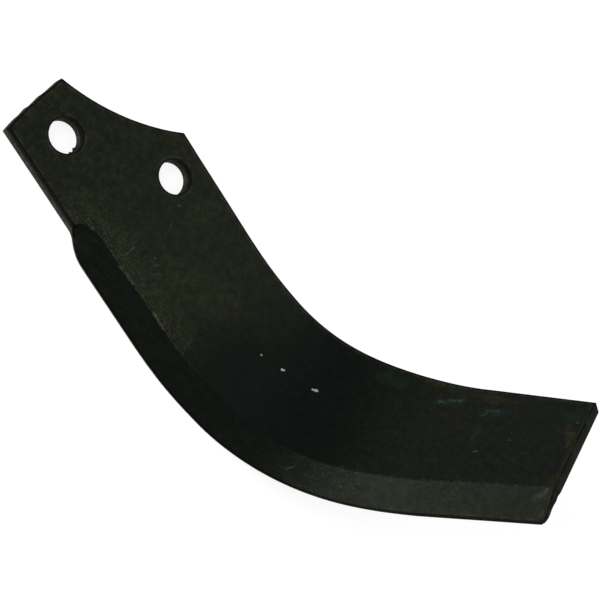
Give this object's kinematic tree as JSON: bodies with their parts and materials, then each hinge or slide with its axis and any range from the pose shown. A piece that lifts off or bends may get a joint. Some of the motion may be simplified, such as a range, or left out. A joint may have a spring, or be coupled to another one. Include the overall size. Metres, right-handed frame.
{
  "type": "rotary tiller blade",
  "caption": "Curved soil-tilling blade forged from flat bar: bolt-on heel, bevelled convex cutting edge and a wing bent up to one side.",
  "frame": {"origin": "midway between the two bolt holes, on the flat back of the heel", "axes": "+X from the bolt hole beside the leading (bevelled) edge to the other bolt hole, +Z out of the bevelled face, the side that the wing is bent up to; the blade runs away from the heel towards +X and -Y"},
  "size_m": [0.2847, 0.1565, 0.1073],
  "materials": {
    "blackened_steel": "dark satin forge scale with rust spots"
  },
  "bodies": {
    "root": {"blade": "blackened_steel"}
  },
  "joints": []
}
